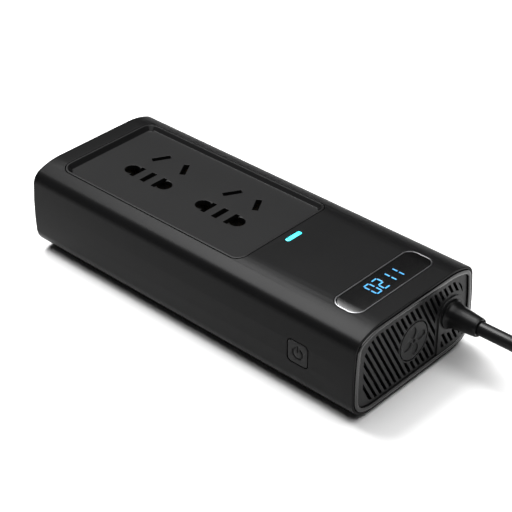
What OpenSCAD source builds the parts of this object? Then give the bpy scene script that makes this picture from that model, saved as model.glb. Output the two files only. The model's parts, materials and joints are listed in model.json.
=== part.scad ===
// In-car power inverter: a slim black box with two mains sockets in its top, a display window,
// a status light, a side power button, a fan behind a slotted end, and a lead with a 12 V plug.
// Millimetres. +X runs to the vented end, +Z is up, the origin is under the middle of the case.

/* [Case] */
// Length of the case over the bezel
body_l = 175; // [172:0.5:178]
// Widest width of the case, half way up its sides
body_w = 71.6; // [71:0.1:74]
// Height of the flat top above the surface it stands on
top_z = 39.4; // [39.2:0.1:40.5]
// Thickness of the case wall
wall = 2.2; // [1.8:0.1:2.4]
// Height of the rubber feet under the case
foot_h = 1.2; // [1:0.1:1.6]
// Radius of the crown, where the flat top starts to roll over
crown_r = 30; // [28:1:32]
// Radius of the tight bend between the crown and the side
top_r = 6.3; // [5.5:0.1:7]
// Radius of the bend between the side and the heel
bottom_r = 8; // [7:0.1:9]

/* [Socket panel] */
// Length of the opening for the socket panel
panel_l = 102.5; // [101:0.5:104]
// Width of the opening for the socket panel
panel_w = 52.5; // [51:0.5:54]
// Depth of the panel's floor below the flat top
panel_sink = 2.2; // [1.6:0.1:2.6]
// Distance between the two sockets
socket_pitch = 41.2; // [40:0.1:42]
// Diameter of the round pin holes
round_hole_d = 6.5; // [6:0.1:6.8]

/* [Display and controls] */
// Length of the display window across the case
display_l = 45.6; // [44:0.1:47]
// Width of the display window along the case
display_w = 12.3; // [12:0.1:13]
// Side of the square power button
button_side = 9.6; // [9:0.1:10]
// Travel of the power button
button_travel = 0.8; // [0.5:0.1:1]

/* [Vented end] */
// Distance between the slanted vent slots
slot_pitch = 2.85; // [2.8:0.05:3.2]
// Width of one vent slot
slot_w = 1.2; // [1:0.05:1.4]
// Lean of the vent slots from upright, in degrees
slot_lean = 28.5; // [24:0.5:30]
// Diameter of the round emblem disc
emblem_d = 15.8; // [15:0.1:16.4]
// Side of the square cooling fan
fan_side = 25; // [24:0.5:25]

/* [Lead and plug] */
// Diameter of the lead
cord_d = 5.7; // [5.4:0.1:5.8]
// Diameter of the plug's barrel
barrel_d = 20.6; // [20:0.1:20.8]
// Diameter of the plug's handle
handle_d = 24; // [23:0.5:24]

/* [Hidden] */

smooth = 48;
cut = 1;

// Case outline
half_l = body_l / 2;
half_w = body_w / 2;
side_r = 130;
heel_r = 20;
side_turn = 7;
corner_turn = 68;
rise_to_top = side_r * sin(side_turn) + top_r * (sin(corner_turn) - sin(side_turn))
    + crown_r * (1 - sin(corner_turn));
waist_z = top_z - rise_to_top;
low_drop = waist_z - foot_h;
low_turn = asin((low_drop - bottom_r * sin(corner_turn) - heel_r * (1 - sin(corner_turn)))
    / (side_r - bottom_r));
side_c = [half_w - side_r, waist_z];
low_c = side_c + (side_r - bottom_r) * [cos(low_turn), -sin(low_turn)];
heel_c = low_c + (bottom_r - heel_r) * [cos(corner_turn), -sin(corner_turn)];
high_c = side_c + (side_r - top_r) * [cos(side_turn), sin(side_turn)];
crown_c = high_c + (top_r - crown_r) * [cos(corner_turn), sin(corner_turn)];

function arc(c, r, a0, a1, n) = [
    for (i = [0:n]) let (a = a0 + (a1 - a0) * i / n) c + r * [cos(a), sin(a)]
];
function half_outline(inset) = concat(
    arc(heel_c, heel_r - inset, -90, -corner_turn, 4),
    arc(low_c, bottom_r - inset, -corner_turn + 9, -low_turn, 6),
    arc(side_c, side_r - inset, 0, side_turn, 2),
    arc(high_c, top_r - inset, side_turn + 9, corner_turn, 6),
    arc(crown_c, crown_r - inset, corner_turn + 4, 90, 4));
function outline(inset) = let (h = half_outline(inset), n = len(h))
    concat(h, [for (i = [n - 1:-1:0]) [-h[i][0], h[i][1]]]);

// Lengthways layout of the case
sleeve_front = half_l - 0.5;
rebate = 1.2;
bezel_w = 2;
bezel_depth = 5;
grille_back = half_l - 2.9;
grille_face = half_l - 0.8;
grille_inset = rebate + bezel_w + 0.1;
rear_cap_t = 2.6;
rear_cap_depth = 0.4;
end_screw_y = 25.5;
end_screw_z = 20.3;
inner_floor = foot_h + wall;

// Socket panel and sockets
panel_x = -28.45;
panel_gap = 0.15;
panel_corner_r = 5;
panel_rim = 0.9;
panel_floor = top_z - panel_sink;
panel_t = 2.2;
panel_under = panel_floor - panel_t;
socket_y = -4.7;
socket_x = [-49.4, -49.4 + socket_pitch];
flat_x = 6.35;
round_x = 9.5;
flat_slot = [2.1, 7.8];
earth_slot = [2.6, 7.8];
oblique_slot = [2.4, 8];
oblique_pos = [6.86, 14.27];
oblique_turn = 30;
carrier_x0 = -74;
carrier_x1 = 17;
carrier_half_w = 22;
carrier_bottom = 18.5;
carrier_top = panel_under - 0.1;
clip_top = 30.5;
strap_t = 0.8;
post_x = [carrier_x0 + 5, carrier_x1 - 5];
post_y = 17.5;

// Display, status light and button
display_x = 71.65;
display_r = 4;
trim_w = 0.7;
window_t = 1.3;
// Segments of a figure 7 tall along -X and 3.4 wide along Y: centre and size of each
SEGMENTS = [
    [[-3.2, 1.7], [0.6, 2.5]], [[-1.6, 3.1], [2.3, 0.6]], [[1.6, 3.1], [2.3, 0.6]],
    [[3.2, 1.7], [0.6, 2.5]], [[1.6, 0.3], [2.3, 0.6]], [[-1.6, 0.3], [2.3, 0.6]], [[0, 1.7], [0.6, 2.5]]
];
// The segments lit in each figure of the readout
FIGURES = [[0, 1, 2, 3, 4, 5], [0, 1, 3, 4, 6], [1, 2], [1, 2]];
digit_y0 = -8.4;
digit_pitch = 4.5;
digit_z = top_z - 0.35;
light_x = 26.8;
light_size = [2.2, 8.3];
button_x = 60.6;
button_z = 20;
button_face = half_w - 0.15;
button_r = 2;
button_gap = 0.35;
flange_y = 31.6;
switch_front = 27.4;
stem_end = switch_front - 0.4 + button_travel;

// Board and what stands on it
board_z = 7;
board_t = 1.6;
board_top = board_z + board_t;
board_x0 = -80;
board_x1 = 72;
board_half_w = 29;
coil_x = 40;
board_post = [[-75, -19], [-75, 19], [16, -19], [16, 19]];

// Fan and vented end
fan_x0 = 74.2;
fan_t = 9.6;
fan_pos = [-10, 20.3];
fan_bore_d = 23.4;
fan_shaft_r = 1;
fan_hub_r = 5.4;
fan_blades = 7;
fan_screw_pitch = 20;
emblem_z = 19.2;
emblem_gap = 0.5;
slot_shift = -0.93;
slot_area = [58.6, 28.5];
slot_area_r = 8;
slot_area_z = 19.65;
entry_y = 22.2;
entry_z = 19.9;
arch_r = 7.75;
relief_front = 100.3;
relief_back = 78;

// Lead: its ring lies on the floor past the vented end, wound clockwise seen from above
cord_r = cord_d / 2;
ring_c = [182.2, -9.2];
ring_in = 22.6;
ring_out = 34.3;
ring_h = 11.6;
CORD_ROUTE = [
    [100.3, 22.2, 19.9], [108, 22.2, 19.9], [116, 22.2, 19.9], [122, 22.2, 19.2], [128, 22.2, 17.4],
    [134, 22.2, 14.4], [140, 22.2, 11], [146, 22.2, 7.8], [152, 22.2, 5], [158, 22.2, 3.3],
    [164, 22.2, 2.9], [182.2, 22.2, 2.9]
];
TAIL_ROUTE = [
    [160, 13, 8.7], [166, 19, 8.7], [172, 25, 7.8], [178, 31, 5.6], [184.1, 37.1, 3.6],
    [189, 40.9, 2.9], [194.8, 43.3, 2.9], [201, 44.1, 2.9], [205.5, 44.1, 3.2], [211.7, 43.3, 4.2],
    [217.5, 40.9, 5.6], [222.5, 37.1, 7.2], [226.3, 32.1, 9], [228.7, 26.3, 10.6],
    [229.5, 20.1, 11.7], [229.5, 18, 12]
];

// Plug, drawn with its tail at 0 and its nose along +X, then laid on the floor
plug_pos = [229.5, 18, 12];
handle_x0 = 8;
handle_x1 = 38;
barrel_x1 = 62;
ring_x1 = 68.5;
tip_x1 = 73.5;
tip_r = 3.9;
tip_flange_x = 60.2;
tip_travel = 2.5;
spring_x0 = 50;
contact_x = 50;
contact_foot = 8;
contact_travel = 1.2;

// A body with the case's outline pulled in by inset, from x0 to x1
module slab(x0, x1, inset) {
    translate([x0, 0, 0]) rotate([90, 0, 90]) linear_extrude(x1 - x0) polygon(outline(inset));
}

// An upright block with round corners, centred on the Z axis
module rounded_block(size, r, h) {
    linear_extrude(h) union() {
        square([size[0] - 2 * r, size[1]], center = true);
        square([size[0], size[1] - 2 * r], center = true);
        for (sx = [-1, 1], sy = [-1, 1])
            translate([sx * (size[0] / 2 - r), sy * (size[1] / 2 - r)]) circle(r = r, $fn = smooth);
    }
}

module post(pos, r, z0, z1) {
    translate([pos[0], pos[1], z0]) cylinder(r = r, h = z1 - z0, $fn = smooth);
}

// A cylinder along X
module rod_x(pos, r, x0, x1) {
    translate([x0, pos[0], pos[1]]) rotate([0, 90, 0]) cylinder(r = r, h = x1 - x0, $fn = smooth);
}

// A box given by its lowest and highest corners
module box(low, high) {
    translate(low) cube(high - low);
}

// A small cross-head screw, head at the origin and shank along -Z
module screw(head_r, head_h, shank_r, length) {
    difference() {
        cylinder(r = head_r, h = head_h, $fn = smooth);
        for (turn = [0, 90])
            rotate([0, 0, turn]) translate([0, 0, head_h]) cube([1.3 * head_r, 0.6, head_h], center = true);
    }
    translate([0, 0, -length]) cylinder(r = shank_r, h = length + 0.1, $fn = smooth);
}

module housing_sleeve() {
    color([0.11, 0.11, 0.115]) difference() {
        slab(-half_l, sleeve_front, 0);
        slab(-half_l - cut, half_l + cut, wall);
        slab(sleeve_front - bezel_depth, half_l + cut, rebate);
        slab(-half_l - cut, -half_l + rear_cap_depth + rear_cap_t, rebate);
        translate([panel_x, 0, top_z - 8]) rounded_block([panel_l, panel_w], panel_corner_r, 10);
        translate([light_x, 0, top_z - 4]) rounded_block(light_size, 0.8, 6);
        translate([display_x, 0, top_z - 1.4])
            rounded_block([display_w + 2 * trim_w, display_l + 2 * trim_w], display_r + trim_w, 4);
        translate([display_x, 0, top_z - 4]) rounded_block([8, 26], 1, 4);
        translate([button_x, -half_w + 4, button_z]) rotate([90, 0, 0])
            rounded_block([button_side + 2 * button_gap, button_side + 2 * button_gap], button_r, 6);
    }
}

module front_bezel() {
    color([0.1, 0.1, 0.105]) difference() {
        slab(sleeve_front - bezel_depth + 0.05, half_l, rebate + 0.05);
        slab(sleeve_front - bezel_depth - cut, half_l + cut, rebate + bezel_w);
    }
}

// Where vent slots are allowed: a round-cornered area clear of the emblem and the lead's entry
module slot_field(x0, x1) {
    difference() {
        translate([x0, 0, slot_area_z]) rotate([90, 0, 90])
            rounded_block(slot_area, slot_area_r, x1 - x0);
        rod_x([0, emblem_z], emblem_d / 2 + emblem_gap + 0.6, x0 - cut, x1 + cut);
        rod_x([entry_y, entry_z], arch_r + 1.7, x0 - cut, x1 + cut);
        box([x0 - cut, entry_y - arch_r - 1.2, 0], [x1 + cut, half_w, entry_z]);
    }
}

module slot_bars(x0, x1, count) {
    for (i = [-count:count])
        translate([x0, i * slot_pitch + slot_shift, (top_z + foot_h) / 2]) rotate([slot_lean, 0, 0])
            translate([0, -slot_w / 2, -30]) cube([x1 - x0, slot_w, 60]);
}

// The pad around the lead's entry: half round above, straight down to the panel's edge
module arch(x0, x1, r) {
    rod_x([entry_y, entry_z], r, x0, x1);
    box([x0, entry_y - r, 0], [x1, entry_y + r, entry_z]);
}

module front_grille() {
    color([0.13, 0.13, 0.135]) difference() {
        union() {
            slab(grille_back, grille_face, grille_inset);
            intersection() {
                slab(grille_back, grille_face + 0.6, grille_inset);
                arch(grille_back, grille_face + 0.6, arch_r);
            }
        }
        intersection() {
            slot_bars(grille_back - cut, half_l + cut, 16);
            slot_field(grille_back - cut, half_l + cut);
        }
        intersection() {
            slot_bars(grille_back - cut, half_l + cut, 16);
            difference() {
                box([grille_back - cut, entry_y - 5.5, 6.5], [half_l + cut, entry_y + 6, 13]);
                rod_x([entry_y, entry_z], 8.2, grille_back - cut, half_l + cut);
            }
        }
        rod_x([0, emblem_z], emblem_d / 2 + emblem_gap, grille_face - 1.2, half_l + cut);
        rod_x([entry_y, entry_z], 6.1, grille_back - cut, half_l + cut);
    }
}

// A round badge with a four-bladed fan sign sunk into it
module emblem_disc() {
    blade_r = 2.7;
    color([0.12, 0.12, 0.125]) difference() {
        rod_x([0, emblem_z], emblem_d / 2, grille_face - 1.2, grille_face);
        translate([grille_face - 0.4, 0, emblem_z]) {
            rod_x([0, 0], 0.8, 0, cut);
            for (turn = [0:90:270]) rotate([turn, 0, 0]) intersection() {
                rod_x([0, 1.3 + blade_r], blade_r, 0, cut);
                rod_x([-2, 1.3 + blade_r], blade_r + 0.5, 0, cut);
            }
        }
    }
}

module rear_cap() {
    x0 = -half_l + rear_cap_depth;
    color([0.12, 0.12, 0.125]) difference() {
        slab(x0, x0 + rear_cap_t, rebate + 0.05);
        intersection() {
            slot_bars(x0 - cut, x0 + rear_cap_t + cut, 16);
            difference() {
                slab(x0 - cut, x0 + rear_cap_t + cut, 8);
                for (s = [-1, 1])
                    rod_x([s * end_screw_y, end_screw_z], 4.2, x0 - 2 * cut, x0 + rear_cap_t + 2 * cut);
            }
        }
        for (s = [-1, 1]) {
            rod_x([s * end_screw_y, end_screw_z], 1.6, x0 - cut, x0 + rear_cap_t + cut);
            rod_x([s * end_screw_y, end_screw_z], 3, x0 - cut, x0 + 1.2);
        }
    }
}

module end_screws() {
    color("dimgray") for (s = [-1, 1])
        translate([-half_l + rear_cap_depth + 1.2, s * end_screw_y, end_screw_z])
            rotate([0, -90, 0]) screw(2.8, 1, 1.4, 3.2);
}

// Flat and round holes for two-pin plugs, the earth slot and the two slanting slots of one socket
module socket_holes(z0, z1) {
    translate([0, 0, z0]) {
        for (s = [-1, 1]) {
            translate([s * flat_x, 0, (z1 - z0) / 2])
                cube([flat_slot[0], flat_slot[1], z1 - z0], center = true);
            translate([s * round_x, 0, 0]) cylinder(d = round_hole_d, h = z1 - z0, $fn = smooth);
            translate([s * oblique_pos[0], oblique_pos[1], (z1 - z0) / 2]) rotate([0, 0, s * oblique_turn])
                cube([oblique_slot[0], oblique_slot[1], z1 - z0], center = true);
        }
        translate([0, 0, (z1 - z0) / 2]) cube([earth_slot[0], earth_slot[1], z1 - z0], center = true);
    }
}

module socket_panel() {
    color([0.16, 0.16, 0.165]) intersection() {
        slab(-half_l, half_l, 0);
        difference() {
            union() {
                translate([panel_x, 0, panel_under])
                    rounded_block([panel_l - 2 * panel_gap, panel_w - 2 * panel_gap], panel_corner_r, 8);
                for (x = post_x, s = [-1, 1]) post([x, s * post_y], 3, 27, panel_under + 0.1);
            }
            translate([panel_x, 0, panel_floor]) rounded_block(
                [panel_l - 2 * panel_gap - 2 * panel_rim, panel_w - 2 * panel_gap - 2 * panel_rim],
                panel_corner_r - panel_rim, 8);
            for (x = socket_x) translate([x, socket_y, 0]) socket_holes(panel_under - cut, top_z);
            for (x = post_x, s = [-1, 1]) post([x, s * post_y], 1.5, 26, panel_under + 1);
        }
    }
}

// Wells in the carrier under one socket's holes
module socket_wells(z0, z1) {
    for (s = [-1, 1]) {
        box([min(s * 4, s * 13.2), -4.6, z0], [max(s * 4, s * 13.2), 4.6, z1]);
        translate([s * oblique_pos[0], oblique_pos[1], (z0 + z1) / 2]) rotate([0, 0, s * oblique_turn])
            cube([5, 9.4, z1 - z0], center = true);
    }
    box([-2.6, -4.6, z0], [2.6, 4.6, z1]);
}

module socket_carrier() {
    color([0.2, 0.2, 0.21]) difference() {
        box([carrier_x0, -carrier_half_w, carrier_bottom], [carrier_x1, carrier_half_w, carrier_top]);
        for (x = socket_x) translate([x, socket_y, 0])
            socket_wells(carrier_bottom - cut, carrier_top + cut);
        for (x = post_x, s = [-1, 1]) {
            post([x, s * post_y], 1.6, carrier_bottom - cut, carrier_top + cut);
            post([x, s * post_y], 3.2, 26.8, carrier_top + cut);
            post([x, s * post_y], 3.2, carrier_bottom - cut, carrier_bottom + 2.2);
        }
    }
}

module carrier_screws() {
    color("silver") for (x = post_x, s = [-1, 1])
        translate([x, s * post_y, carrier_bottom + 2.1]) rotate([180, 0, 0]) screw(2.8, 1.8, 1.4, 13);
}

// Two spring leaves on a foot, gripping along Y, with the foot at z0
module clip(length, gap, z0) {
    for (s = [-1, 1])
        box([-length / 2, min(s * gap / 2, s * (gap / 2 + strap_t)), z0],
            [length / 2, max(s * gap / 2, s * (gap / 2 + strap_t)), clip_top]);
    box([-length / 2, -gap / 2 - strap_t, z0], [length / 2, gap / 2 + strap_t, z0 + strap_t]);
}

// One side's contact of one socket: a clip for flat and round pins, one for the slanting pin,
// a strap between them, and a leg down to the board
module line_contact(s) {
    foot = carrier_bottom + 0.4;
    translate([s * 8.5, 0, 0]) clip(7, 5.6, foot);
    translate([s * oblique_pos[0], oblique_pos[1], 0]) rotate([0, 0, s * oblique_turn + 90])
        clip(7, 2.4, foot);
    box([s * 8.5 - 1.5, -4.4, carrier_bottom - 1], [s * 8.5 + 1.5, 16, carrier_bottom - 0.2]);
    box([s * 8.5 - 1.5, -2, carrier_bottom - 1], [s * 8.5 + 1.5, 2, foot + 0.1]);
    box([s * 8.5 - 1, 11.5, carrier_bottom - 1], [s * 8.5 + 1, 14.5, foot + 0.1]);
    box([s * 8.5 - 1, -4.4, board_top], [s * 8.5 + 1, -3.6, carrier_bottom - 0.2]);
}

module live_contacts() {
    color("gold") for (x = socket_x) translate([x, socket_y, 0]) line_contact(1);
}

module neutral_contacts() {
    color("gold") for (x = socket_x) translate([x, socket_y, 0]) line_contact(-1);
}

module earth_contacts() {
    foot = carrier_bottom + 0.4;
    color("gold") for (x = socket_x) translate([x, socket_y, 0]) union() {
        rotate([0, 0, 90]) clip(7, 2.6, foot);
        box([-1.5, -12, carrier_bottom - 1], [1.5, 4, carrier_bottom - 0.2]);
        box([-1.5, -2, carrier_bottom - 1], [1.5, 2, foot + 0.1]);
        box([-1, -12, board_top], [1, -11.2, carrier_bottom - 0.2]);
    }
}

module display_trim() {
    color("gray") intersection() {
        slab(-half_l, half_l, 0);
        translate([display_x, 0, top_z - window_t]) difference() {
            rounded_block([display_w, display_l] + [1, 1] * (2 * trim_w - 0.1), display_r + trim_w, 3);
            translate([0, 0, -cut]) rounded_block([display_w, display_l], display_r, 3 + 2 * cut);
        }
    }
}

module figure(which, h) {
    for (i = which) translate(SEGMENTS[i][0]) linear_extrude(h) square(SEGMENTS[i][1], center = true);
}

module digits(z0, h) {
    for (k = [0:len(FIGURES) - 1])
        translate([display_x, digit_y0 + k * digit_pitch, z0]) figure(FIGURES[k], h);
}

module display_window() {
    color([0.03, 0.03, 0.035]) difference() {
        intersection() {
            slab(-half_l, half_l, 0.1);
            translate([display_x, 0, top_z - window_t])
                rounded_block([display_w - 0.1, display_l - 0.1], display_r, 3);
        }
        digits(digit_z, 1);
    }
}

module display_digits() {
    color([0.2, 0.65, 0.9]) digits(digit_z, 0.25);
}

module display_board() {
    color("darkgreen") union() {
        box([display_x - 6, -22, 33.1], [display_x + 6, 22, 34.2]);
        box([display_x - 3.8, -12.6, 34.1], [display_x + 3.8, 12.6, top_z - 1.5]);
        for (s = [-1, 1])
            box([display_x - 6, s * 20.5 - 1, board_top], [display_x - 4.2, s * 20.5 + 1, 33.2]);
    }
}

module status_light() {
    color([0.25, 0.86, 0.92]) union() {
        translate([light_x, 0, top_z - 4]) rounded_block(light_size - [0.1, 0.1], 0.75, 3.95);
        translate([light_x, 0, top_z - 4.6]) rounded_block(light_size + [1.6, 1.6], 1, 1);
    }
}

module light_board() {
    color("darkgreen") union() {
        box([light_x - 3.5, -7, 31.4], [light_x + 3.5, 7, 32.6]);
        box([light_x - 1, -1.6, 32.5], [light_x + 1, 1.6, 34.2]);
        for (s = [-1, 1]) box([light_x - 3, s * 5.5 - 0.5, board_top], [light_x - 2, s * 5.5 + 0.5, 31.5]);
    }
}

// A round-cornered square cap with a flange inside the wall, a stem, and a power sign cut in its face
module power_button() {
    color([0.1, 0.1, 0.105]) translate([button_x, 0, button_z]) rotate([90, 0, 0]) difference() {
        union() {
            translate([0, 0, flange_y])
                rounded_block([button_side, button_side], button_r - button_gap, button_face - flange_y);
            translate([0, 0, flange_y]) rounded_block([button_side + 2, button_side + 2], button_r, 1.2);
            translate([0, 0, stem_end]) cylinder(r = 1.6, h = flange_y + 0.2 - stem_end, $fn = smooth);
        }
        translate([0, 0, button_face - 0.3]) difference() {
            cylinder(r = 2.6, h = 1, $fn = smooth);
            translate([0, 0, -cut]) cylinder(r = 2.1, h = 4, $fn = smooth);
            translate([-1.1, 0, -cut]) cube([2.2, 4, 4]);
        }
        translate([-0.25, 0.6, button_face - 0.3]) cube([0.5, 2.6, 1]);
    }
}

module tact_switch() {
    color("silver") translate([button_x, 0, button_z]) rotate([90, 0, 0]) difference() {
        translate([-3, -3, switch_front - 3.2]) cube([6, 6, 3.2]);
        translate([0, 0, switch_front - 1.2]) cylinder(r = 1.9, h = 3, $fn = smooth);
    }
}

module button_board() {
    color("darkgreen") box([button_x - 7, -24.2, board_top], [button_x + 7, -23, button_z + 8]);
}

module rubber_feet() {
    color([0.08, 0.08, 0.08]) difference() {
        for (x = [-75, 0, 75], s = [-1, 1]) post([x, s * 25.5], 4, 0, 3);
        slab(-half_l, half_l, 0);
    }
}

module main_board() {
    color("darkgreen") difference() {
        box([board_x0, -board_half_w, board_z], [board_x1, board_half_w, board_top]);
        for (p = board_post) post(p, 1.6, board_z - cut, board_top + cut);
    }
}

module board_posts() {
    color("goldenrod") for (p = board_post) difference() {
        translate([p[0], p[1], inner_floor]) cylinder(r = 3, h = board_z - inner_floor, $fn = 6);
        post(p, 1.5, inner_floor + 0.5, board_z + cut);
    }
}

module board_screws() {
    color("silver") for (p = board_post) translate([p[0], p[1], board_top]) screw(2.8, 1.8, 1.4, 4.4);
}

module transformer_core() {
    color([0.2, 0.2, 0.2]) difference() {
        box([coil_x - 15, -6, board_top + 0.5], [coil_x + 15, 6, 29]);
        for (s = [-1, 1])
            box([coil_x + s * 8 - 3.5, -7, board_top + 5], [coil_x + s * 8 + 3.5, 7, 25]);
    }
}

module transformer_coil() {
    color([0.85, 0.75, 0.2]) translate([coil_x, 0, 0]) difference() {
        translate([0, 0, board_top + 5.5]) rounded_block([21.4, 22], 5, 24.5 - board_top - 5.5);
        box([-4.6, -6.1, 0], [4.6, 6.1, 40]);
        for (s = [-1, 1]) box([s * 8 + (s > 0 ? 3.3 : -8), -6.1, 0], [s * 8 + (s > 0 ? 8 : -3.3), 6.1, 40]);
    }
}

module heatsink(side, x0, x1) {
    low = side > 0 ? 25 : -29.5;
    difference() {
        box([x0, low, board_top], [x1, low + 4.5, 28]);
        for (z = [12:3:26])
            box([x0 - cut, side > 0 ? 27 : -31, z], [x1 + cut, side > 0 ? 31 : -27, z + 1.5]);
    }
}

module heatsink_left() {
    color("lightgray") heatsink(-1, 20, 50);
}

module heatsink_right() {
    color("lightgray") heatsink(1, 20, 66);
}

module power_transistors() {
    color([0.1, 0.1, 0.1]) for (p = [[26, -1], [42, -1], [26, 1], [42, 1], [58, 1]])
        translate([p[0], p[1] > 0 ? 20.5 : -25, board_top + 2]) union() {
            translate([-5, 0, 0]) cube([10, 4.5, 15]);
            for (i = [-1, 0, 1]) translate([i * 2.5 - 0.4, 2, -2]) cube([0.8, 0.6, 2.1]);
        }
}

module bulk_capacitor() {
    color([0.1, 0.12, 0.3]) post([61.5, 13], 6.3, board_top, 29.5);
}

module input_capacitors() {
    color([0.1, 0.2, 0.15]) for (y = [-16, -5.5]) post([61.5, y], 4.5, board_top, 24);
}

module film_capacitors() {
    color([0.75, 0.6, 0.15]) for (p = [[-40, -18], [-18, -18], [-62, 14]])
        box([p[0] - 8, p[1] - 3.5, board_top], [p[0] + 8, p[1] + 3.5, board_top + 7]);
}

module filter_choke() {
    color([0.7, 0.35, 0.15]) translate([-28, 12, board_top + 4]) rotate_extrude($fn = smooth)
        translate([7.5, 0]) circle(r = 3.4, $fn = smooth);
}

module control_chips() {
    color([0.08, 0.08, 0.08]) for (p = [[-64, -20], [-52, 22], [-8, 16], [2, -20], [8, 8]])
        box([p[0] - 5, p[1] - 3, board_top], [p[0] + 5, p[1] + 3, board_top + 2.4]);
}

module input_fuse() {
    color([0.2, 0.6, 0.25]) box([51.5, 8, board_top], [53.5, 19, 24]);
}

// An input wire from the back of the strain relief, along and then down to the board
module input_wire(y) {
    union() {
        rod_x([y, entry_z], 1.1, 69.5, relief_back);
        translate([69.5, y, entry_z]) sphere(r = 1.1, $fn = smooth);
        post([69.5, y], 1.1, board_top, entry_z);
    }
}

module input_lead_red() {
    color("firebrick") input_wire(20.6);
}

module input_lead_black() {
    color([0.06, 0.06, 0.06]) input_wire(23.8);
}

// The square frame carries the rotor's bearing on four spokes at its inner side
module fan_frame() {
    c = fan_pos;
    h = fan_side / 2;
    color([0.09, 0.09, 0.09]) difference() {
        union() {
            difference() {
                box([fan_x0, c[0] - h, c[1] - h], [fan_x0 + fan_t, c[0] + h, c[1] + h]);
                rod_x(c, fan_bore_d / 2, fan_x0 - cut, fan_x0 + fan_t + cut);
            }
            rod_x(c, fan_hub_r + 0.4, fan_x0, fan_x0 + 1.6);
            rod_x(c, 2.4, fan_x0, fan_x0 + 5.6);
            for (turn = [45:90:315])
                translate([fan_x0, c[0], c[1]]) rotate([turn, 0, 0])
                    translate([0, -0.9, fan_hub_r - 0.4]) cube([1.6, 1.8, 7]);
        }
        rod_x(c, fan_shaft_r + 0.05, fan_x0 + 0.8, fan_x0 + fan_t);
        for (sy = [-1, 1], sz = [-1, 1])
            rod_x([c[0] + sy * fan_screw_pitch / 2, c[1] + sz * fan_screw_pitch / 2], 1.4,
                fan_x0 - cut, fan_x0 + fan_t + cut);
    }
}

module fan_rotor() {
    c = fan_pos;
    color([0.07, 0.07, 0.07]) union() {
        difference() {
            rod_x(c, fan_hub_r, fan_x0 + 2.1, fan_x0 + 9.2);
            rod_x(c, fan_hub_r - 1, fan_x0 + 1, fan_x0 + 8);
        }
        rod_x(c, fan_shaft_r, fan_x0 + 1.2, fan_x0 + 8.5);
        for (i = [0:fan_blades - 1])
            translate([fan_x0 + 5.6, c[0], c[1]]) rotate([i * 360 / fan_blades, 0, 0])
                translate([0, 0, fan_hub_r - 0.4]) rotate([0, 0, 38])
                    translate([-3.4, -0.45, 0]) cube([6.8, 0.9, 5.9]);
    }
}

module fan_screws() {
    c = fan_pos;
    color("silver") for (sy = [-1, 1], sz = [-1, 1])
        translate([fan_x0, c[0] + sy * fan_screw_pitch / 2, c[1] + sz * fan_screw_pitch / 2])
            rotate([0, -90, 0]) screw(2.4, 1.2, 1.3, 9.5);
}

// A flexible sleeve: a flange inside the panel, a neck through it, a rim on the pad, a flare that
// runs into a long taper, and a lip that stands clear around the lead
module strain_relief() {
    pad = grille_face + 0.7;
    color([0.07, 0.07, 0.07]) translate([0, entry_y, entry_z]) rotate([0, 90, 0])
        rotate_extrude($fn = smooth) polygon([
            [0, relief_back], [4.5, relief_back], [4.5, 80.5], [8, 80.5], [8, grille_back - 0.1],
            [6, grille_back - 0.1], [6, pad], [6.2, pad], [6.2, pad + 0.5], [5.7, pad + 0.9],
            [5.2, pad + 2], [4.9, pad + 3.5], [3.9, relief_front - 0.4], [3.9, relief_front + 0.3],
            [3.7, relief_front + 0.5], [3.3, relief_front + 0.5], [3.3, relief_front], [0, relief_front]
        ]);
}

// A tube swept along a route of points: each ring stands square to the route there
function heading(p, i) = let (a = p[max(i - 1, 0)], b = p[min(i + 1, len(p) - 1)]) (b - a) / norm(b - a);
function ring_points(c, d, r, n) =
    let (across = cross([0, 0, 1], d), side = across / norm(across), up = cross(d, side))
    [for (k = [0:n - 1]) c + r * (cos(360 * k / n) * side + sin(360 * k / n) * up)];
module tube(route, r, n) {
    rings = len(route);
    points = [for (i = [0:rings - 1]) each ring_points(route[i], heading(route, i), r, n)];
    sides = [for (i = [0:rings - 2], k = [0:n - 1])
        [i * n + k, i * n + (k + 1) % n, (i + 1) * n + (k + 1) % n, (i + 1) * n + k]];
    first_end = [for (k = [n - 1:-1:0]) k];
    last_end = [for (k = [0:n - 1]) (rings - 1) * n + k];
    polyhedron(points, concat(sides, [first_end, last_end]));
}

module cord() {
    color([0.06, 0.06, 0.06]) tube(CORD_ROUTE, cord_r, 10);
}

module cord_tail() {
    color([0.06, 0.06, 0.06]) tube(TAIL_ROUTE, cord_r, 10);
}

// The outer shape of the wound part of the lead
module cord_coil() {
    color([0.06, 0.06, 0.06]) translate([ring_c[0], ring_c[1], 0]) rotate_extrude($fn = 96)
        translate([ring_in, 0]) square([ring_out - ring_in, ring_h]);
}

// Lays a piece drawn along +X with its axis at the origin on the floor, nose towards -Y
module lay_plug() {
    translate(plug_pos) rotate([0, 0, -90]) children();
}

module plug_body() {
    pocket = contact_foot - contact_travel - 0.3;
    color([0.09, 0.09, 0.09]) lay_plug() difference() {
        rotate([0, 90, 0]) rotate_extrude($fn = smooth) polygon([
            [0, 0], [4, 0], [4.6, handle_x0], [8.4, handle_x0], [10.4, 14], [handle_d / 2, 24],
            [handle_d / 2, handle_x1 - 1], [handle_d / 2 - 0.8, handle_x1], [barrel_d / 2, handle_x1],
            [barrel_d / 2, barrel_x1], [0, barrel_x1]
        ]);
        rod_x([0, 0], 5.2, 22, barrel_x1 + cut);
        for (s = [-1, 1])
            box([contact_x - 8, min(s * pocket, s * handle_d), -2.8],
                [contact_x + 8, max(s * pocket, s * handle_d), 2.8]);
    }
}

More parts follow.
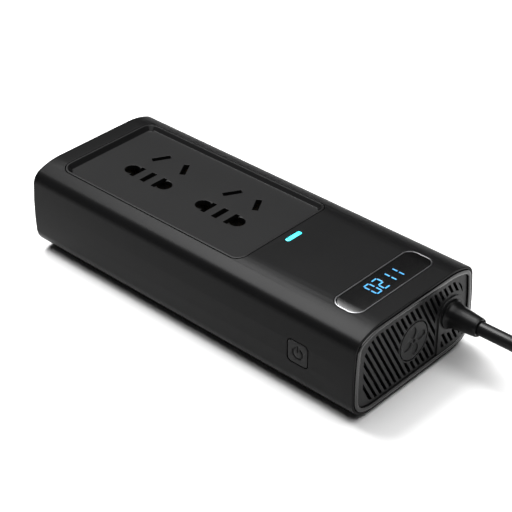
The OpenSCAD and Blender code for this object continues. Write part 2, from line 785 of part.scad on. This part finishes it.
module plug_nose_ring() {
    color([0.12, 0.12, 0.12]) lay_plug() rotate([0, 90, 0]) rotate_extrude($fn = smooth) polygon([
        [tip_r + 0.1, barrel_x1 + 1.4], [5.1, barrel_x1 + 1.4], [5.1, barrel_x1], [9.8, barrel_x1],
        [9.8, 65], [7.6, ring_x1], [tip_r + 0.1, ring_x1]
    ]);
}

module plug_tip() {
    color("silver") lay_plug() rotate([0, 90, 0]) rotate_extrude($fn = smooth) polygon([
        [0, tip_flange_x], [4.9, tip_flange_x], [4.9, tip_flange_x + 1.4], [tip_r, tip_flange_x + 1.4],
        [tip_r, 71.8], [2.6, 73], [0, tip_x1]
    ]);
}

module plug_fuse() {
    color("lightblue") lay_plug() rod_x([0, 0], 3.2, 22.2, spring_x0);
}

// The coil spring's outer shape between the fuse and the tip
module plug_spring() {
    color("silver") lay_plug() difference() {
        rod_x([0, 0], 3.8, spring_x0, tip_flange_x);
        rod_x([0, 0], 2.9, spring_x0 - cut, tip_flange_x + cut);
    }
}

// A bowed leaf that stands out of the barrel's side window
module side_contact(s) {
    bow_r = 13.6;
    bow_top = barrel_d / 2 + 1.5;
    lay_plug() intersection() {
        translate([contact_x, s * (bow_top - bow_r), 0]) difference() {
            cylinder(r = bow_r, h = 4.8, center = true, $fn = 96);
            cylinder(r = bow_r - 0.8, h = 6, center = true, $fn = 96);
        }
        box([contact_x - 7, min(s * contact_foot, s * 13), -3],
            [contact_x + 7, max(s * contact_foot, s * 13), 3]);
    }
}

module plug_contact_left() {
    color("silver") side_contact(1);
}

module plug_contact_right() {
    color("silver") side_contact(-1);
}

housing_sleeve();
front_bezel();
front_grille();
emblem_disc();
rear_cap();
end_screws();
socket_panel();
socket_carrier();
live_contacts();
neutral_contacts();
earth_contacts();
carrier_screws();
display_trim();
display_window();
display_digits();
display_board();
status_light();
light_board();
power_button();
tact_switch();
button_board();
rubber_feet();
main_board();
board_posts();
board_screws();
transformer_core();
transformer_coil();
heatsink_left();
heatsink_right();
power_transistors();
bulk_capacitor();
input_capacitors();
film_capacitors();
filter_choke();
control_chips();
input_fuse();
input_lead_red();
input_lead_black();
fan_frame();
fan_rotor();
fan_screws();
strain_relief();
cord();
cord_coil();
cord_tail();
plug_body();
plug_nose_ring();
plug_tip();
plug_fuse();
plug_spring();
plug_contact_left();
plug_contact_right();
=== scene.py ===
# %% [markdown]
# # A car power inverter
# The model is loaded first. Its parts arrive as fixed meshes in metres, in the row's own frame:
# +X runs to the vented end, +Y to the lead's side, +Z up, and the origin is under the middle
# of the case. What follows gives them a camera, finishes and finer shapes.

# %% Load the model
import bpy
import json
import math
from mathutils import Matrix, Vector

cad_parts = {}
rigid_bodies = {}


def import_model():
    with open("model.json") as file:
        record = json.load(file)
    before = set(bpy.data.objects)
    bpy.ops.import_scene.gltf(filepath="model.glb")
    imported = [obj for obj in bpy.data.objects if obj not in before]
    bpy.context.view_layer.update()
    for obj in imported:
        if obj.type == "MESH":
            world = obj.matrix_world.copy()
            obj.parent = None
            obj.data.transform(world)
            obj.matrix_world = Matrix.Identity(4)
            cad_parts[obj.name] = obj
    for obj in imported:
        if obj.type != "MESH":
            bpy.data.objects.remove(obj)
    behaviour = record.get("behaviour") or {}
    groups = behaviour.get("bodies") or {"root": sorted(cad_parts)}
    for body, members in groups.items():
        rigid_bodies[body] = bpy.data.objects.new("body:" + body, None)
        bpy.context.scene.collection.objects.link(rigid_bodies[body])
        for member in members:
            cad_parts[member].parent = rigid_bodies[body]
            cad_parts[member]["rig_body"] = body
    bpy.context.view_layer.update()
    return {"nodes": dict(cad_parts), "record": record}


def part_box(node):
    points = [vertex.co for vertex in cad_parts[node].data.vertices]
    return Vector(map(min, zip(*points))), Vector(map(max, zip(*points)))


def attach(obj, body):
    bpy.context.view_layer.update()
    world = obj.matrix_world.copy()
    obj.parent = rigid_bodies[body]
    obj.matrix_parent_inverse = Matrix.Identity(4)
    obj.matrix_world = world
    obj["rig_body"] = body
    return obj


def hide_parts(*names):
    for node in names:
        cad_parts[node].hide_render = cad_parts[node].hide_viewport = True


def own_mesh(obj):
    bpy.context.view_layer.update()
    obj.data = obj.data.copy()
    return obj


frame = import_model()

# %% [markdown]
# ## Camera
# A product is usually shown from above one corner with a long lens, which keeps its edges
# almost parallel. The camera is set by its place and the way it looks, and its roll comes from
# a right-hand vector, because a hand-held view is seldom quite level.

# %% Camera
camera_place = Vector((0.35576, -0.37104, 0.36518))
view_line = Vector((-0.5677, 0.6035, -0.5599)).normalized()
view_right = Vector((0.7290, 0.6844, -0.0117))
view_right = (view_right - view_right.dot(view_line) * view_line).normalized()
view_up = view_right.cross(view_line)

camera_data = bpy.data.cameras.new("product_camera")
camera_data.lens = 108.1
camera_data.sensor_width = 36.0
camera = bpy.data.objects.new("product_camera", camera_data)
turn = Matrix((view_right, view_up, -view_line)).transposed()
camera.matrix_world = Matrix.Translation(camera_place) @ turn.to_4x4()
bpy.context.scene.collection.objects.link(camera)
bpy.context.scene.camera = camera
print("camera at", tuple(round(v, 4) for v in camera_place))

# %% [markdown]
# ## Lead
# The lead is a fixed length of rubber cable 5.7 mm thick. It leaves the strain relief straight,
# drops to the floor, is wound nearly three times round in two layers, and ends in the plug.
# A curve with a round bevel is the natural way to make it: its own line is the centreline,
# so the length is what the points say. The route points are far apart, so a smooth spline is
# drawn through them and sampled finely. The bevel is one unit deep and each point's radius scales
# it to the lead's own, because the box round a curve also grows by the radius of its points.

# %% Lead route
lead_diameter = 0.0057
lead_out = [
    (100.3, 22.2, 19.9), (108, 22.2, 19.9), (116, 22.2, 19.9), (122, 22.2, 19.2), (128, 22.2, 17.4),
    (134, 22.2, 14.4), (140, 22.2, 11), (146, 22.2, 7.8), (152, 22.2, 5), (158, 22.2, 3.3),
    (164, 22.2, 2.9), (170, 22.2, 2.9), (176, 22.2, 2.9),
]
lead_in = [
    (160, 13, 8.7), (166, 19, 8.7), (172, 25, 7.8), (178, 31, 5.6), (184.1, 37.1, 3.6),
    (189, 40.9, 2.9), (194.8, 43.3, 2.9), (201, 44.1, 2.9), (205.5, 44.1, 3.2), (211.7, 43.3, 4.2),
    (217.5, 40.9, 5.6), (222.5, 37.1, 7.2), (226.3, 32.1, 9), (228.7, 26.3, 10.6),
    (229.5, 20.1, 11.7), (229.5, 18, 12),
]
coil_centre = (182.2, -9.2)
wide_turn, narrow_turn = 31.4, 25.6
low_layer, high_layer = 2.9, 8.7
coil_turns = 2.875


def ease(value, start, end, low, high):
    """low before start, high after end, and a smooth change between them."""
    t = min(max((value - start) / (end - start), 0), 1)
    return low + (high - low) * t * t * (3 - 2 * t)


lead_coil = []
for k in range(int(coil_turns * 24) + 1):
    turned = k / 24
    radius = ease(turned, 0.5, 0.95, wide_turn, narrow_turn)
    radius = ease(turned, 2.08, 2.53, radius, wide_turn) if turned > 1.5 else radius
    height = ease(turned, 1.35, 1.65, low_layer, high_layer)
    angle = math.radians(90) - turned * math.tau
    lead_coil.append((coil_centre[0] + radius * math.cos(angle),
                      coil_centre[1] + radius * math.sin(angle), height))


def smooth_route(points, steps):
    """Points on a smooth line through the given ones, steps to each span."""
    p = [Vector(q) for q in points]
    p = [2 * p[0] - p[1]] + p + [2 * p[-1] - p[-2]]
    line = []
    for i in range(1, len(p) - 2):
        a, b, c, d = p[i - 1:i + 3]
        for k in range(steps):
            t = k / steps
            line.append(0.5 * (2 * b + (c - a) * t + (2 * a - 5 * b + 4 * c - d) * t * t
                               + (3 * b - a - 3 * c + d) * t ** 3))
    return line + [p[-2]]


lead_line = smooth_route(lead_out + lead_coil + lead_in[1:], 5)
lead_line = [q / 1000 for q in lead_line]

# %% [markdown]
# ## The lead's curve
# The sampled points become one open spline. It rides on the case, and stands for the three
# solids that keep its place.

# %% Lead
lead_curve = bpy.data.curves.new("lead", "CURVE")
lead_curve.dimensions = "3D"
lead_curve.bevel_depth = 1
lead_curve.bevel_resolution = 5
lead_curve.use_fill_caps = True
spline = lead_curve.splines.new("POLY")
spline.points.add(len(lead_line) - 1)
for point, place in zip(spline.points, lead_line):
    point.co = (*place, 1)
    point.radius = lead_diameter / 2
spline.use_smooth = True
lead = bpy.data.objects.new("lead", lead_curve)
bpy.context.scene.collection.objects.link(lead)
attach(lead, "case")
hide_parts("cord", "cord_coil", "cord_tail")

# %% [markdown]
# ## Studio
# The case is satin black, so what it shows is mostly reflections. A wide soft box hangs high on
# the left, where the rounded near edge of the top mirrors it as one long highlight. A weaker one
# behind it is what the flat top and the display glass mirror, a faint one lights the vented end,
# and one straight above washes the pale floor until its edges fade. The world is a dim grey, so
# that the flank keeps the dark band under the highlight.

# %% Floor, lights and world
def deselect_all():
    for thing in bpy.context.selected_objects:
        thing.select_set(False)


def soft_box(name, place, aim, width, depth, watts):
    light = bpy.data.lights.new(name, "AREA")
    light.shape = "RECTANGLE"
    light.size = width
    light.size_y = depth
    light.energy = watts
    lamp = bpy.data.objects.new(name, light)
    lamp.location = place
    lamp.rotation_euler = (Vector(aim) - Vector(place)).to_track_quat("-Z", "Y").to_euler()
    bpy.context.scene.collection.objects.link(lamp)


deselect_all()
floor_size = 8
floor_drop = 0.0002
bpy.ops.mesh.primitive_plane_add(size=floor_size, location=(0, 0, -floor_drop))
floor = bpy.context.object
floor.name = "studio_floor"
floor_paint = bpy.data.materials.new("pale_floor")
floor_paint.use_nodes = True
floor_shader = floor_paint.node_tree.nodes["Principled BSDF"]
floor_shader.inputs["Base Color"].default_value = (0.68, 0.68, 0.68, 1)
floor_shader.inputs["Roughness"].default_value = 0.9
floor_shader.inputs["Specular IOR Level"].default_value = 0.1
floor.data.materials.append(floor_paint)

soft_box("crown_light", (-1.0, 0.1, 1.9), (0, 0, 0), 1.3, 0.8, 76)
soft_box("fade_light", (-1.1, 0.9, 1.68), (0, 0, 0), 1.3, 0.6, 13)
soft_box("end_light", (1.6, 0.9, 1.6), (0.09, 0, 0), 1.0, 1.0, 6)
soft_box("floor_wash", (0.4, -0.2, 2.6), (0.4, -0.2, 0), 2.4, 2.4, 90)
world = bpy.data.worlds.new("dim_room")
world.use_nodes = True
world.node_tree.nodes["Background"].inputs["Color"].default_value = (0.5, 0.5, 0.5, 1)
world.node_tree.nodes["Background"].inputs["Strength"].default_value = 0.05
bpy.context.scene.world = world
bpy.context.scene.view_settings.view_transform = "Standard"
print("studio ready")

# %% [markdown]
# ## Shared effects
# Two effects serve nearly every finish. Moulded and coated surfaces carry a fine grain, a few
# tenths of a millimetre across, over slow patches where the sheen changes a little. Drawn or
# turned metal carries fine lines along one direction. Each is a node group with named inputs,
# built once, and it puts out a colour, a roughness and a height for a Bump node.

# %% Grain and drawn-line groups
def effect_group(name, inputs):
    group = bpy.data.node_groups.new(name, "ShaderNodeTree")
    for label, kind, value in inputs:
        socket = group.interface.new_socket(label, in_out="INPUT", socket_type=kind)
        socket.default_value = value
    for label, kind in (("Colour", "NodeSocketColor"), ("Roughness", "NodeSocketFloat"),
                        ("Height", "NodeSocketFloat")):
        group.interface.new_socket(label, in_out="OUTPUT", socket_type=kind)
    return group, group.nodes.new("NodeGroupInput"), group.nodes.new("NodeGroupOutput")


def add_node(tree, kind, **settings):
    node = tree.nodes.new(kind)
    for key, value in settings.items():
        setattr(node, key, value)
    return node


def noise_of(tree, vector, scale_from, detail):
    noise = add_node(tree, "ShaderNodeTexNoise")
    noise.inputs["Detail"].default_value = detail
    tree.links.new(vector, noise.inputs["Vector"])
    tree.links.new(scale_from, noise.inputs["Scale"])
    return noise.outputs["Fac"]


def math_of(tree, operation, a, b, c=None):
    node = add_node(tree, "ShaderNodeMath", operation=operation)
    for slot, value in zip(node.inputs, (a, b, c)):
        if value is None:
            continue
        if isinstance(value, (int, float)):
            slot.default_value = value
        else:
            tree.links.new(value, slot)
    return node.outputs[0]


FINE_SHARE = 0.35


def finish_group(group, ins, outs, fine, patches):
    """Colour and roughness drift with the patches and, less, with the fine pattern."""
    links = group.links
    slow = math_of(group, "MULTIPLY", patches, 1 - FINE_SHARE)
    blend = math_of(group, "MULTIPLY_ADD", fine, FINE_SHARE, slow)
    mix = add_node(group, "ShaderNodeMix", data_type="RGBA")
    links.new(blend, mix.inputs["Factor"])
    links.new(ins.outputs["Dark"], mix.inputs["A"])
    links.new(ins.outputs["Light"], mix.inputs["B"])
    links.new(mix.outputs["Result"], outs.inputs["Colour"])
    centred = math_of(group, "SUBTRACT", blend, 0.5)
    rough = math_of(group, "MULTIPLY_ADD", centred, ins.outputs["Sheen change"],
                    ins.outputs["Base roughness"])
    links.new(rough, outs.inputs["Roughness"])
    links.new(fine, outs.inputs["Height"])


SHARED_INPUTS = [
    ("Dark", "NodeSocketColor", (0, 0, 0, 1)),
    ("Light", "NodeSocketColor", (1, 1, 1, 1)),
    ("Base roughness", "NodeSocketFloat", 0.5),
    ("Sheen change", "NodeSocketFloat", 0.2),
    ("Grain scale", "NodeSocketFloat", 4000),
    ("Patch scale", "NodeSocketFloat", 40),
]

grain_group, ins, outs = effect_group("moulded_grain", SHARED_INPUTS)
where = add_node(grain_group, "ShaderNodeTexCoord").outputs["Object"]
fine = noise_of(grain_group, where, ins.outputs["Grain scale"], 2)
patches = noise_of(grain_group, where, ins.outputs["Patch scale"], 3)
finish_group(grain_group, ins, outs, fine, patches)

drawn_group, ins, outs = effect_group(
    "drawn_lines", SHARED_INPUTS + [("Along", "NodeSocketVector", (0.04, 1, 1))])
where = add_node(drawn_group, "ShaderNodeTexCoord").outputs["Object"]
stretch = add_node(drawn_group, "ShaderNodeVectorMath", operation="MULTIPLY")
drawn_group.links.new(where, stretch.inputs[0])
drawn_group.links.new(ins.outputs["Along"], stretch.inputs[1])
fine = noise_of(drawn_group, stretch.outputs[0], ins.outputs["Grain scale"], 2)
patches = noise_of(drawn_group, where, ins.outputs["Patch scale"], 3)
finish_group(drawn_group, ins, outs, fine, patches)
print("groups", [g.name for g in bpy.data.node_groups])

# %% [markdown]
# ## Finishes
# Each material is a Principled shader fed by one of the groups. A finish is described by a dark
# and a light tone, a roughness with its drift, how coarse the grain is and how deep it stands,
# both in millimetres. What is the same all over, such as the metallic value, sits on the shader
# itself.

# %% Finish helper
def finish(name, dark, light, rough, drift, grain_mm, depth_mm, metallic=0.0, specular=0.5,
           coat=0.0, coat_rough=0.1, along=None, patch_mm=25):
    """Builds the look on the plain material that the model was loaded with."""
    paint = bpy.data.materials[name]
    tree = paint.node_tree
    shader = tree.nodes["Principled BSDF"]
    effect = add_node(tree, "ShaderNodeGroup")
    effect.node_tree = drawn_group if along else grain_group
    effect.inputs["Dark"].default_value = (*dark, 1)
    effect.inputs["Light"].default_value = (*light, 1)
    effect.inputs["Base roughness"].default_value = rough
    effect.inputs["Sheen change"].default_value = drift
    effect.inputs["Grain scale"].default_value = 1000 / grain_mm
    effect.inputs["Patch scale"].default_value = 1000 / patch_mm
    if along:
        effect.inputs["Along"].default_value = along
    bump = add_node(tree, "ShaderNodeBump")
    bump.inputs["Strength"].default_value = 1.0
    bump.inputs["Distance"].default_value = depth_mm / 1000
    tree.links.new(effect.outputs["Colour"], shader.inputs["Base Color"])
    tree.links.new(effect.outputs["Roughness"], shader.inputs["Roughness"])
    tree.links.new(effect.outputs["Height"], bump.inputs["Height"])
    tree.links.new(bump.outputs["Normal"], shader.inputs["Normal"])
    shader.inputs["Metallic"].default_value = metallic
    shader.inputs["Specular IOR Level"].default_value = specular
    shader.inputs["Coat Weight"].default_value = coat
    shader.inputs["Coat Roughness"].default_value = coat_rough


def grey(value):
    return (value, value, value * 1.03)


# %% [markdown]
# ## Outside
# The coating of the case is nearly black, and a low specular level keeps the floor from whitening
# its flanks. The bezel is smoother and shinier than the vent panel inside it. The plug's metal is
# plated, and its drawn lines run along it.

# %% Finishes of the outside
finish("case_coating", grey(0.003), grey(0.0045), 0.34, 0.08, 0.22, 0.003, specular=0.06)
finish("end_plastic", grey(0.004), grey(0.006), 0.24, 0.1, 0.3, 0.003, specular=0.5)
finish("grille_plastic", grey(0.004), grey(0.007), 0.42, 0.1, 0.3, 0.006, specular=0.2)
finish("panel_plastic", grey(0.0035), grey(0.005), 0.45, 0.1, 0.28, 0.006, specular=0.1)
finish("button_plastic", grey(0.003), grey(0.0045), 0.34, 0.08, 0.25, 0.003, specular=0.1)
finish("window_glass", grey(0.0015), grey(0.0025), 0.12, 0.02, 1.5, 0.0002, specular=0.5)
finish("trim_bright", grey(0.13), grey(0.17), 0.3, 0.1, 0.15, 0.003, metallic=1.0)
finish("foot_rubber", grey(0.012), grey(0.018), 0.8, 0.15, 0.4, 0.03, specular=0.3)
finish("cord_rubber", grey(0.004), grey(0.006), 0.3, 0.08, 0.5, 0.006, specular=0.15)
finish("plug_plastic", grey(0.004), grey(0.006), 0.3, 0.1, 0.35, 0.006, specular=0.4)
finish("nose_plastic", grey(0.006), grey(0.009), 0.45, 0.1, 0.3, 0.006, specular=0.35)
finish("nickel", (0.52, 0.5, 0.46), (0.62, 0.6, 0.56), 0.2, 0.12, 0.12, 0.003, metallic=1.0,
       along=(1, 0.04, 1))
finish("black_screw", grey(0.02), grey(0.035), 0.42, 0.15, 0.2, 0.006, metallic=0.8)

# %% [markdown]
# ## Inside
# Parts inside the case are seen only through the slots or when it is opened. Each still gets its
# own finish, because the model may be shown in parts: fibre board, ferrite, copper, brass and
# dark epoxy are what such a circuit is made of.

# %% Finishes of the inside
finish("inner_plastic", grey(0.012), grey(0.018), 0.6, 0.1, 0.3, 0.01)
finish("screw_steel", grey(0.4), grey(0.5), 0.3, 0.15, 0.15, 0.004, metallic=1.0)
finish("spring_steel", grey(0.4), grey(0.55), 0.25, 0.1, 0.1, 0.003, metallic=1.0)
finish("contact_brass", (0.6, 0.4, 0.14), (0.72, 0.5, 0.2), 0.28, 0.15, 0.1, 0.004, metallic=1.0,
       along=(1, 1, 0.05))
finish("post_brass", (0.58, 0.4, 0.15), (0.68, 0.48, 0.2), 0.3, 0.1, 0.1, 0.004, metallic=1.0,
       along=(1, 1, 0.05))
finish("board_green", (0.008, 0.09, 0.035), (0.012, 0.14, 0.055), 0.35, 0.15, 0.8, 0.01,
       coat=0.3, patch_mm=12)
finish("switch_metal", grey(0.35), grey(0.45), 0.3, 0.1, 0.1, 0.003, metallic=1.0)
finish("ferrite", grey(0.03), grey(0.055), 0.75, 0.15, 0.35, 0.03, specular=0.3)
finish("coil_tape", (0.6, 0.4, 0.04), (0.75, 0.55, 0.08), 0.35, 0.15, 0.9, 0.02, coat=0.3)
finish("heatsink_metal", grey(0.5), grey(0.62), 0.35, 0.15, 0.12, 0.005, metallic=1.0,
       along=(0.04, 1, 1))
finish("epoxy_black", grey(0.012), grey(0.022), 0.55, 0.12, 0.12, 0.01)
finish("capacitor_sleeve", (0.008, 0.016, 0.05), (0.012, 0.024, 0.07), 0.3, 0.1, 0.6, 0.01)
finish("film_yellow", (0.5, 0.3, 0.03), (0.62, 0.4, 0.05), 0.35, 0.1, 0.5, 0.01)
finish("copper_winding", (0.5, 0.18, 0.06), (0.65, 0.26, 0.1), 0.3, 0.12, 0.2, 0.01,
       metallic=1.0)
finish("fuse_green", (0.04, 0.3, 0.06), (0.06, 0.4, 0.1), 0.25, 0.08, 0.6, 0.006)
finish("wire_red", (0.4, 0.015, 0.01), (0.5, 0.025, 0.015), 0.4, 0.1, 0.4, 0.006)
finish("wire_black", grey(0.012), grey(0.018), 0.4, 0.1, 0.4, 0.006)
finish("fan_plastic", grey(0.012), grey(0.018), 0.45, 0.1, 0.3, 0.008)


# %% [markdown]
# ## Lit pieces and glass
# The figures and the status light glow, so their colour also goes to Emission. A lens is never
# quite even: it is brightest in the middle, where the light sits behind it. The fuse is a clear
# tube, which keeps plain transmission.

# %% Lit and clear finishes
def lit(name, dim, bright, centre, reach_mm, strength):
    paint = bpy.data.materials[name]
    tree = paint.node_tree
    shader = tree.nodes["Principled BSDF"]
    where = add_node(tree, "ShaderNodeTexCoord").outputs["Object"]
    away = add_node(tree, "ShaderNodeVectorMath", operation="DISTANCE")
    away.inputs[1].default_value = centre
    tree.links.new(where, away.inputs[0])
    fade = add_node(tree, "ShaderNodeMapRange")
    fade.inputs["From Min"].default_value = 0
    fade.inputs["From Max"].default_value = reach_mm / 1000
    tree.links.new(away.outputs["Value"], fade.inputs["Value"])
    mix = add_node(tree, "ShaderNodeMix", data_type="RGBA")
    mix.inputs["A"].default_value = (*bright, 1)
    mix.inputs["B"].default_value = (*dim, 1)
    tree.links.new(fade.outputs["Result"], mix.inputs["Factor"])
    tree.links.new(mix.outputs["Result"], shader.inputs["Base Color"])
    tree.links.new(mix.outputs["Result"], shader.inputs["Emission Color"])
    shader.inputs["Emission Strength"].default_value = strength
    shader.inputs["Roughness"].default_value = 0.25


light_low, light_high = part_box("status_light")
light_centre = ((light_low.x + light_high.x) / 2, 0, light_high.z)
lit("status_lens", (0.02, 0.5, 0.6), (0.06, 0.78, 0.88), light_centre, 6, 0.9)
window_low, window_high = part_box("display_window")
lit("digit_light", (0.02, 0.18, 0.42), (0.04, 0.3, 0.6),
    ((window_low.x + window_high.x) / 2, 0, window_high.z), 16, 0.28)

fuse_glass = bpy.data.materials["fuse_glass"]
fuse_shader = fuse_glass.node_tree.nodes["Principled BSDF"]
fuse_shader.inputs["Base Color"].default_value = (0.9, 0.95, 0.96, 1)
fuse_shader.inputs["Roughness"].default_value = 0.05
fuse_shader.inputs["Transmission Weight"].default_value = 0.9

# %% [markdown]
# ## Finishes on the fixed parts
# Every part that keeps its own shape gets the finish that its slot names, so the list of slots
# in the record is the list of materials here.

# %% Give every part its finish
for entry in frame["record"]["subparts"]:
    node = frame["nodes"][entry["node"]]
    node.data.materials.clear()
    node.data.materials.append(bpy.data.materials[entry["material_slot"]])
lead_curve.materials.append(bpy.data.materials["cord_rubber"])
print(len(frame["nodes"]), "parts finished")

# %% [markdown]
# ## Softened copies
# The fixed parts have knife-sharp edges, which real mouldings and coated metal never have, and
# an edge without a radius catches no light. The visible ones are therefore copied, their loose
# triangles merged, and the edges bevelled by a few tenths of a millimetre. Joining the flat
# triangles into whole faces first would be tidier, but a face full of slots then fills badly.
# The curved faces are shaded smooth, and weighted normals keep the large flat ones flat.

# %% Copy and soften
def merged_copy(node, name):
    """A copy of a fixed part with its loose triangles merged into one closed mesh."""
    deselect_all()
    piece = bpy.data.objects.new(name, frame["nodes"][node].data.copy())
    bpy.context.scene.collection.objects.link(piece)
    bpy.context.view_layer.objects.active = piece
    piece.select_set(True)
    for extra in ("custom_normal", "sharp_edge", "sharp_face"):
        if extra in piece.data.attributes:
            piece.data.attributes.remove(piece.data.attributes[extra])
    bpy.ops.object.mode_set(mode="EDIT")
    bpy.ops.mesh.select_all(action="SELECT")
    bpy.ops.mesh.remove_doubles(threshold=2e-6)
    bpy.ops.object.mode_set(mode="OBJECT")
    return piece


def soften(piece, width_mm, edge_angle=35, segments=2, smooth_angle=30):
    """Bevels every edge sharper than edge_angle, then shades what is nearly flat as one surface."""
    bevel = piece.modifiers.new("soft_edges", "BEVEL")
    bevel.width = width_mm / 1000
    bevel.segments = segments
    bevel.limit_method = "ANGLE"
    bevel.angle_limit = math.radians(edge_angle)
    bevel.use_clamp_overlap = False
    bevel.loop_slide = False
    deselect_all()
    bpy.context.view_layer.objects.active = piece
    piece.select_set(True)
    bpy.ops.object.modifier_apply(modifier=bevel.name)
    bpy.ops.object.shade_smooth_by_angle(angle=math.radians(smooth_angle))
    even = piece.modifiers.new("flat_stays_flat", "WEIGHTED_NORMAL")
    even.keep_sharp = True
    bpy.ops.object.modifier_apply(modifier=even.name)
    print(piece.name, len(piece.data.polygons), "faces")


def stand_for(piece, body, slot, *nodes):
    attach(piece, body)
    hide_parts(*nodes)


# %% Case, bezel, end plates, panel and controls
softened = [  # fixed part, softened piece, edge radius in millimetres
    ("housing_sleeve", "case_shell", 0.3), ("front_bezel", "end_bezel", 0.6),
    ("front_grille", "vent_panel", 0.14), ("emblem_disc", "vent_badge", 0.12),
    ("rear_cap", "rear_plate", 0.25), ("socket_panel", "socket_plate", 0.22),
    ("display_trim", "display_frame", 0.22), ("display_window", "display_glass", 0.1),
    ("status_light", "status_lens_piece", 0.2), ("power_button", "power_key", 0.3),
    ("rubber_feet", "soft_feet", 0.35), ("plug_body", "plug_handle", 0.4),
    ("plug_nose_ring", "plug_collar", 0.35), ("plug_tip", "plug_point", 0.3),
]
tray_floor_z = 0.0372
tray_lean = 0.0013
tray_margin = 0.003


def lean_tray_walls(piece, low, high):
    """Moves the rim of the tray's floor inwards, so that the walls round it slope."""
    middle = (low + high) / 2
    half = (high - low) / 2 - Vector((tray_margin, tray_margin, 0))
    moved = 0
    for vertex in piece.data.vertices:
        away = vertex.co - middle
        on_rim = abs(away.x) > half.x or abs(away.y) > half.y
        if on_rim and abs(vertex.co.z - tray_floor_z) < 1e-5:
            vertex.co.x -= math.copysign(tray_lean, away.x) * (abs(away.x) > half.x)
            vertex.co.y -= math.copysign(tray_lean, away.y) * (abs(away.y) > half.y)
            moved += 1
    print("tray walls lean on", moved, "points")


for node, name, width in softened:
    piece = merged_copy(node, name)
    if node == "socket_panel":
        lean_tray_walls(piece, *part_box(node))
    soften(piece, width)
    slot = frame["nodes"][node].data.materials[0].name
    stand_for(piece, frame["nodes"][node]["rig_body"], slot, node)

# %% [markdown]
# ## Strain relief
# A strain relief is moulded in soft rubber over the lead. A narrow bright rim sits on the pad, the
# sleeve flares out of it in a tight curve, tapers to the far end, and stands clear of the lead as
# a thin lip. It is turned work in shape, so a disc is extruded along its axis and scaled at each
# step, which leaves one closed surface that the bevel can then round.

# %% Strain relief
relief_axis = Vector((0, 0.0222, 0.0199))
relief_start = (0.078, 0.0045)
relief_steps = [  # place along X and radius
    (0.0805, 0.0045), (0.0805, 0.008), (0.0845, 0.008), (0.0845, 0.006), (0.0874, 0.006),
    (0.0874, 0.0062), (0.0878, 0.0062), (0.0881, 0.00575), (0.0887, 0.0054), (0.0895, 0.00515),
    (0.0906, 0.00495), (0.093, 0.0047), (0.0965, 0.0043), (0.0996, 0.004), (0.1003, 0.0039),
    (0.1008, 0.0037), (0.1008, 0.0033), (0.1003, 0.0033),
]
deselect_all()
at_x, at_radius = relief_start
bpy.ops.mesh.primitive_circle_add(vertices=48, radius=at_radius, fill_type="NGON",
                                  location=(at_x, relief_axis.y, relief_axis.z),
                                  rotation=(0, math.radians(90), 0))
sleeve = bpy.context.object
sleeve.name = "relief_sleeve"
bpy.ops.object.transform_apply(location=True, rotation=True, scale=True)
bpy.ops.object.mode_set(mode="EDIT")
bpy.ops.mesh.select_all(action="SELECT")
for next_x, next_radius in relief_steps:
    bpy.ops.mesh.extrude_region_move(TRANSFORM_OT_translate={"value": (next_x - at_x, 0, 0)})
    growth = next_radius / at_radius
    bpy.ops.transform.resize(value=(1, growth, growth),
                             center_override=(next_x, relief_axis.y, relief_axis.z))
    at_x, at_radius = next_x, next_radius
bpy.ops.mesh.select_all(action="SELECT")
bpy.ops.mesh.remove_doubles(threshold=1e-6)
bpy.ops.mesh.normals_make_consistent(inside=False)
bpy.ops.object.mode_set(mode="OBJECT")
soften(sleeve, 0.15, edge_angle=50)
sleeve.data.materials.append(bpy.data.materials["cord_rubber"])
stand_for(sleeve, "case", "cord_rubber", "strain_relief")

# %% [markdown]
# ## Plug spring
# The spring between the plug's fuse and its tip is a few turns of thin wire. A ring of points the
# size of the wire is carried round the plug's axis with a screw motion, and its two open ends are
# closed.

# %% Plug spring
wire_radius = 0.0003
spring_turns = 5
fuse_end = Vector((0.2295, -0.032, 0.012))
spring_low, spring_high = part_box("plug_spring")
turn_radius = (spring_high.x - spring_low.x) / 2 - wire_radius
spring_length = spring_high.y - spring_low.y - 2 * wire_radius
deselect_all()
bpy.ops.mesh.primitive_circle_add(vertices=10, radius=wire_radius,
                                  location=fuse_end - Vector((0, wire_radius, 0)))
spring = bpy.context.object
spring.name = "plug_coil"
bpy.ops.object.mode_set(mode="EDIT")
bpy.ops.transform.translate(value=(turn_radius, 0, 0))
bpy.ops.object.mode_set(mode="OBJECT")
screw = spring.modifiers.new("turns", "SCREW")
screw.axis = "Y"
screw.iterations = spring_turns
screw.screw_offset = -spring_length / spring_turns
screw.steps = screw.render_steps = 28
bpy.ops.object.modifier_apply(modifier=screw.name)
bpy.ops.object.transform_apply(location=True, rotation=True, scale=True)
bpy.ops.object.mode_set(mode="EDIT")
bpy.ops.mesh.select_all(action="SELECT")
bpy.ops.mesh.remove_doubles(threshold=1e-6)
bpy.ops.mesh.fill_holes(sides=0)
bpy.ops.mesh.select_all(action="SELECT")
bpy.ops.mesh.normals_make_consistent(inside=False)
bpy.ops.object.mode_set(mode="OBJECT")
bpy.ops.object.shade_smooth_by_angle(angle=math.radians(50))
spring.data.materials.append(bpy.data.materials["spring_steel"])
stand_for(spring, frame["nodes"]["plug_spring"]["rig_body"], "spring_steel", "plug_spring")
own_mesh(spring)
print("plug spring", len(spring.data.polygons), "faces")

# %% [markdown]

# %% [markdown]
# ## Last step
# The last step brings every object's placement up to date.

# %% Bring the scene up to date
bpy.context.view_layer.update()
